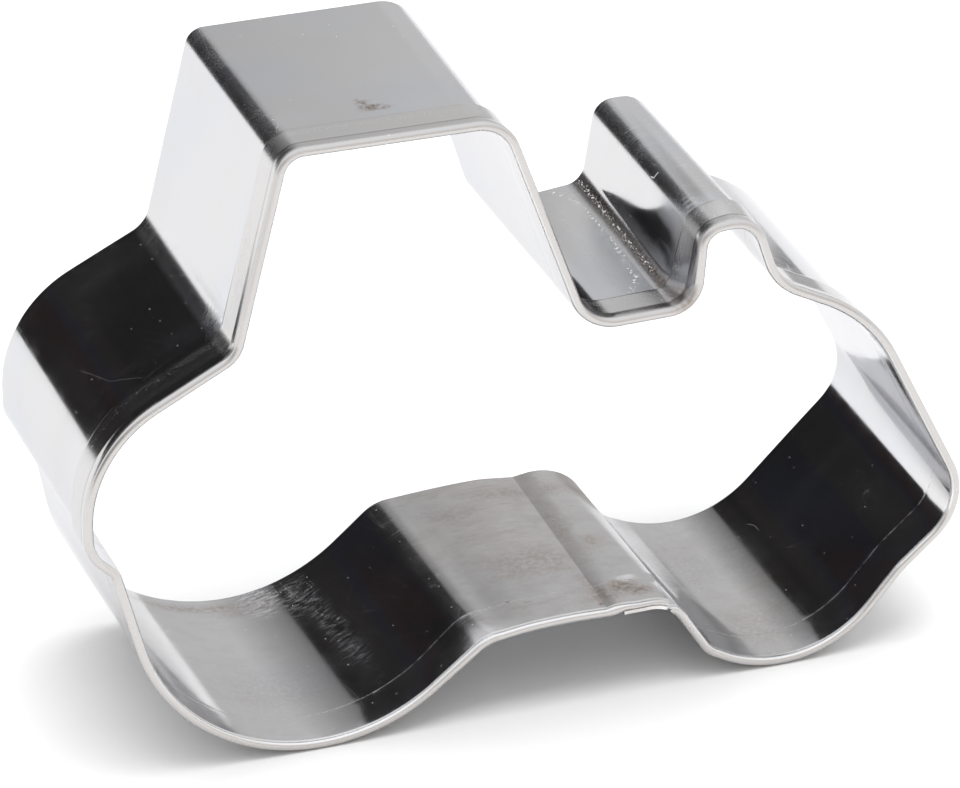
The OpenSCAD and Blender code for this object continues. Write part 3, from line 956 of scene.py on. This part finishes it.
def backdrop_material():
    """What the mirror finish sees behind the cutter: a grey wall that ends at a black flag."""
    g = Graph("backdrop", "ShaderNodeEmission")
    place = in_mm(g)
    parts = g.add("ShaderNodeSeparateXYZ", place).node.outputs
    x, z = parts[0], parts[2]
    soft = g.noise(place, 0.01, 2.0, 0.5)
    edge = g.ramp(g.total(x, (soft, FLAG_WANDER)), *FLAG_EDGE)

    def slopes(value, pair):
        first, second = pair
        return g.math("ADD", g.ramp(value, *first, False), g.ramp(value, *second, False))

    # The grey wall with its shade and its bright patch
    tone = slopes(x, WALL_SLOPES)
    shade = g.math("MULTIPLY", g.ramp(z, *SHADE_Z, SHADE, 0.0), g.ramp(x, *SHADE_LEFT))
    shade = g.math("MULTIPLY", shade, g.ramp(x, *SHADE_RIGHT, 1.0, 0.0))
    tone = g.math("MULTIPLY", tone, g.math("SUBTRACT", 1.0, shade))
    glow = g.window(x, *GLOW_STRIPE)
    over_top = g.math("SUBTRACT", z, slopes(x, GLOW_TOP))
    glow = g.math("MULTIPLY", glow, g.ramp(over_top, -GLOW_SOFT, GLOW_SOFT, 1.0, 0.0))
    tone = g.total(g.math("MULTIPLY", tone, g.math("SUBTRACT", 1.0, glow)), (glow, GLOW))

    # The wall fades into the room, and the flag has its stripes
    fade = g.most(g.ramp(x, *ROOM_X), g.ramp(z, *ROOM_Z))
    grey = g.tree.nodes.new("ShaderNodeCombineColor")
    for k in range(3):
        g.put(grey.inputs[k], tone)
    red = g.window(x, *RED_STRIPE)
    blue = g.window(x, *BLUE_STRIPE)
    dark = g.mix(g.ramp(soft, 0.35, 0.65), FLAG, FLAG_PALE)
    dark = g.mix(g.math("MULTIPLY", red, 0.5), dark, FLAG_RED)
    dark = g.mix(g.math("MULTIPLY", blue, 0.5), dark, FLAG_BLUE)
    grey = g.mix(fade, grey.outputs[0], DOME_WHITE)
    g.put(g.shader.inputs[0], g.mix(edge, dark, grey))
    return g.mat


def dome_material():
    """The white room round the set, with the darker low part that lies behind the camera."""
    g = Graph("dome", "ShaderNodeEmission")
    way = g.vec("NORMALIZE", g.add("ShaderNodeTexCoord", out=3))
    parts = g.add("ShaderNodeSeparateXYZ", way).node.outputs
    front = g.ramp(parts[1], -0.35, -0.05, 1.0, 0.0)
    low = g.ramp(parts[2], 0.45, 0.75, 1.0, 0.0)
    left = g.ramp(parts[0], -0.75, 0.0, 0.42, 1.0)
    shade = g.add("ShaderNodeVectorMath", DOME_FRONT, operation="SCALE").node
    g.put(shade.inputs[3], left)
    g.put(g.shader.inputs[0], g.mix(g.math("MULTIPLY", front, low), DOME_WHITE, shade.outputs[0]))
    return g.mat


# ------------------------------------------------------------------ object
def weld_nugget(name, x, y, z):
    """A lens of fused metal between the two layers of the lap, with a slightly ragged rim."""
    rng = np.random.default_rng(int(10 * (x + y)) + 500)
    rings, spokes = 7, 40
    a = np.linspace(0, 2 * math.pi, spokes, endpoint=False)
    coarse = 0.05 * np.sin(3 * a + rng.uniform(0, 6))
    fine = 0.04 * np.sin(7 * a + rng.uniform(0, 6))
    ragged = NUGGET_R * (1 + coarse + fine)
    verts = [(x, y, z + NUGGET_HALF)]
    for top in (1, -1):
        for k in range(1, rings + (top > 0)):
            r = k / rings if top > 0 else 1 - k / rings
            h = NUGGET_HALF * math.sqrt(max(0.0, 1 - r ** 3))
            verts += [(x + r * q * math.cos(t), y + r * q * math.sin(t), z + top * h)
                      for q, t in zip(ragged, a)]
    verts.append((x, y, z - NUGGET_HALF))
    bands = (len(verts) - 2) // spokes
    faces = [(0, 1 + k, 1 + (k + 1) % spokes) for k in range(spokes)]
    for b in range(bands - 1):
        for k in range(spokes):
            p, q = 1 + b * spokes + k, 1 + b * spokes + (k + 1) % spokes
            faces.append((p, p + spokes, q + spokes, q))
    last, end = 1 + (bands - 1) * spokes, len(verts) - 1
    faces += [(end, last + (k + 1) % spokes, last + k) for k in range(spokes)]
    mesh = bpy.data.meshes.new(name)
    mesh.from_pydata([tuple(c * MM for c in p) for p in verts], [], faces)
    mesh.validate()
    mesh.shade_smooth()
    obj = bpy.data.objects.new(name, mesh)
    bpy.context.collection.objects.link(obj)
    return obj


band = make_band()
band.data.materials.append(steel_material())
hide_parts("steel_band")
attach(band, "root")

weld_metal = weld_material()
for node, at in zip(("weld_at_rolled_edge", "weld_in_middle", "weld_at_cutting_edge"), WELDS):
    nugget = weld_nugget(node + "_nugget", *at)
    nugget.data.materials.append(weld_metal)
    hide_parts(node)
    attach(nugget, "root")


# ------------------------------------------------------------------ stage
def stage_piece(name, points, faces, mat):
    """A piece of the set, from points in mm."""
    mesh = bpy.data.meshes.new(name)
    mesh.from_pydata([tuple(c * MM for c in p) for p in points], [], faces)
    mesh.materials.append(mat)
    obj = bpy.data.objects.new(name, mesh)
    bpy.context.collection.objects.link(obj)
    return obj


def table_height(y):
    return (y - FOLD_Y) * TILT


stage_piece("floor", [(x, y, table_height(y)) for x, y in (
    (-FLOOR_HALF, -FLOOR_HALF), (FLOOR_HALF, -FLOOR_HALF),
    (FLOOR_HALF, FLOOR_HALF), (-FLOOR_HALF, FLOOR_HALF),
)], [(0, 1, 2, 3)], table_material())

left, right = BACKDROP_X
foot, top = BACKDROP_Z
backdrop = stage_piece("backdrop", [(x, BACKDROP_Y, z) for x, z in (
    (left, foot), (left, top), (right, top), (right, foot),
)], [(0, 1, 2, 3)], backdrop_material())

# The dome, open at the foot and closed at the top
around = np.radians(np.arange(0, 360, 7.5))
heights = np.radians(np.linspace(-4, 84, 12))
rings = [(DOME * math.cos(h) * math.cos(a), DOME * math.cos(h) * math.sin(a), DOME * math.sin(h))
         for h in heights for a in around]
k = len(around)
walls = [(b * k + i, b * k + (i + 1) % k, (b + 1) * k + (i + 1) % k, (b + 1) * k + i)
         for b in range(len(heights) - 1) for i in range(k)]
walls.append(tuple(range((len(heights) - 1) * k, len(heights) * k)))
dome = stage_piece("dome", rings, walls, dome_material())
for seen_in_metal in (backdrop, dome):
    seen_in_metal.visible_camera = False
    seen_in_metal.visible_diffuse = False
    seen_in_metal.visible_shadow = False

# The sky gets brighter from the horizon up
world = bpy.data.worlds.new("studio")
bpy.context.scene.world = world
world.use_nodes = True
sky = world.node_tree.nodes
height = sky.new("ShaderNodeSeparateXYZ")
fade = sky.new("ShaderNodeMapRange")
world.node_tree.links.new(sky.new("ShaderNodeTexCoord").outputs[0], height.inputs[0])
world.node_tree.links.new(height.outputs[2], fade.inputs[0])
for k, value in enumerate((0.0, SKY_TOP, HORIZON_LIGHT, ROOM_LIGHT), 1):
    fade.inputs[k].default_value = value
world.node_tree.links.new(fade.outputs[0], sky["Background"].inputs[1])
sky["Background"].inputs[0].default_value = (1, 1, 1, 1)

light = bpy.data.lights.new("softbox", "AREA")
light.shape = "RECTANGLE"
light.size = SOFTBOX_SIZE
light.size_y = SOFTBOX_SIZE
light.energy = SOFTBOX_WATTS
lamp = bpy.data.objects.new("softbox", light)
bpy.context.collection.objects.link(lamp)
lamp.location = SOFTBOX_AT
lamp.rotation_euler = Vector(SOFTBOX_AT).to_track_quat("Z", "Y").to_euler()
lamp.visible_glossy = False

# ------------------------------------------------------------------ camera
back = np.array([
    math.sin(AZIMUTH) * math.cos(ELEVATION),
    -math.cos(AZIMUTH) * math.cos(ELEVATION),
    math.sin(ELEVATION),
])
right = np.array([math.cos(AZIMUTH), math.sin(AZIMUTH), 0.0])
up = np.cross(back, right)
cam = bpy.data.cameras.new("camera")
cam.sensor_fit = "HORIZONTAL"
cam.sensor_width = SENSOR
cam.lens = FOCAL / PHOTO_WIDTH * SENSOR
eye = bpy.data.objects.new("camera", cam)
bpy.context.collection.objects.link(eye)
place = Matrix.Identity(4)
for k in range(3):
    place[k][0], place[k][1], place[k][2] = right[k], up[k], back[k]
    place[k][3] = (TARGET[k] + DISTANCE * back[k]) * MM
eye.matrix_world = place
bpy.context.scene.camera = eye
bpy.context.scene.view_settings.view_transform = "Standard"
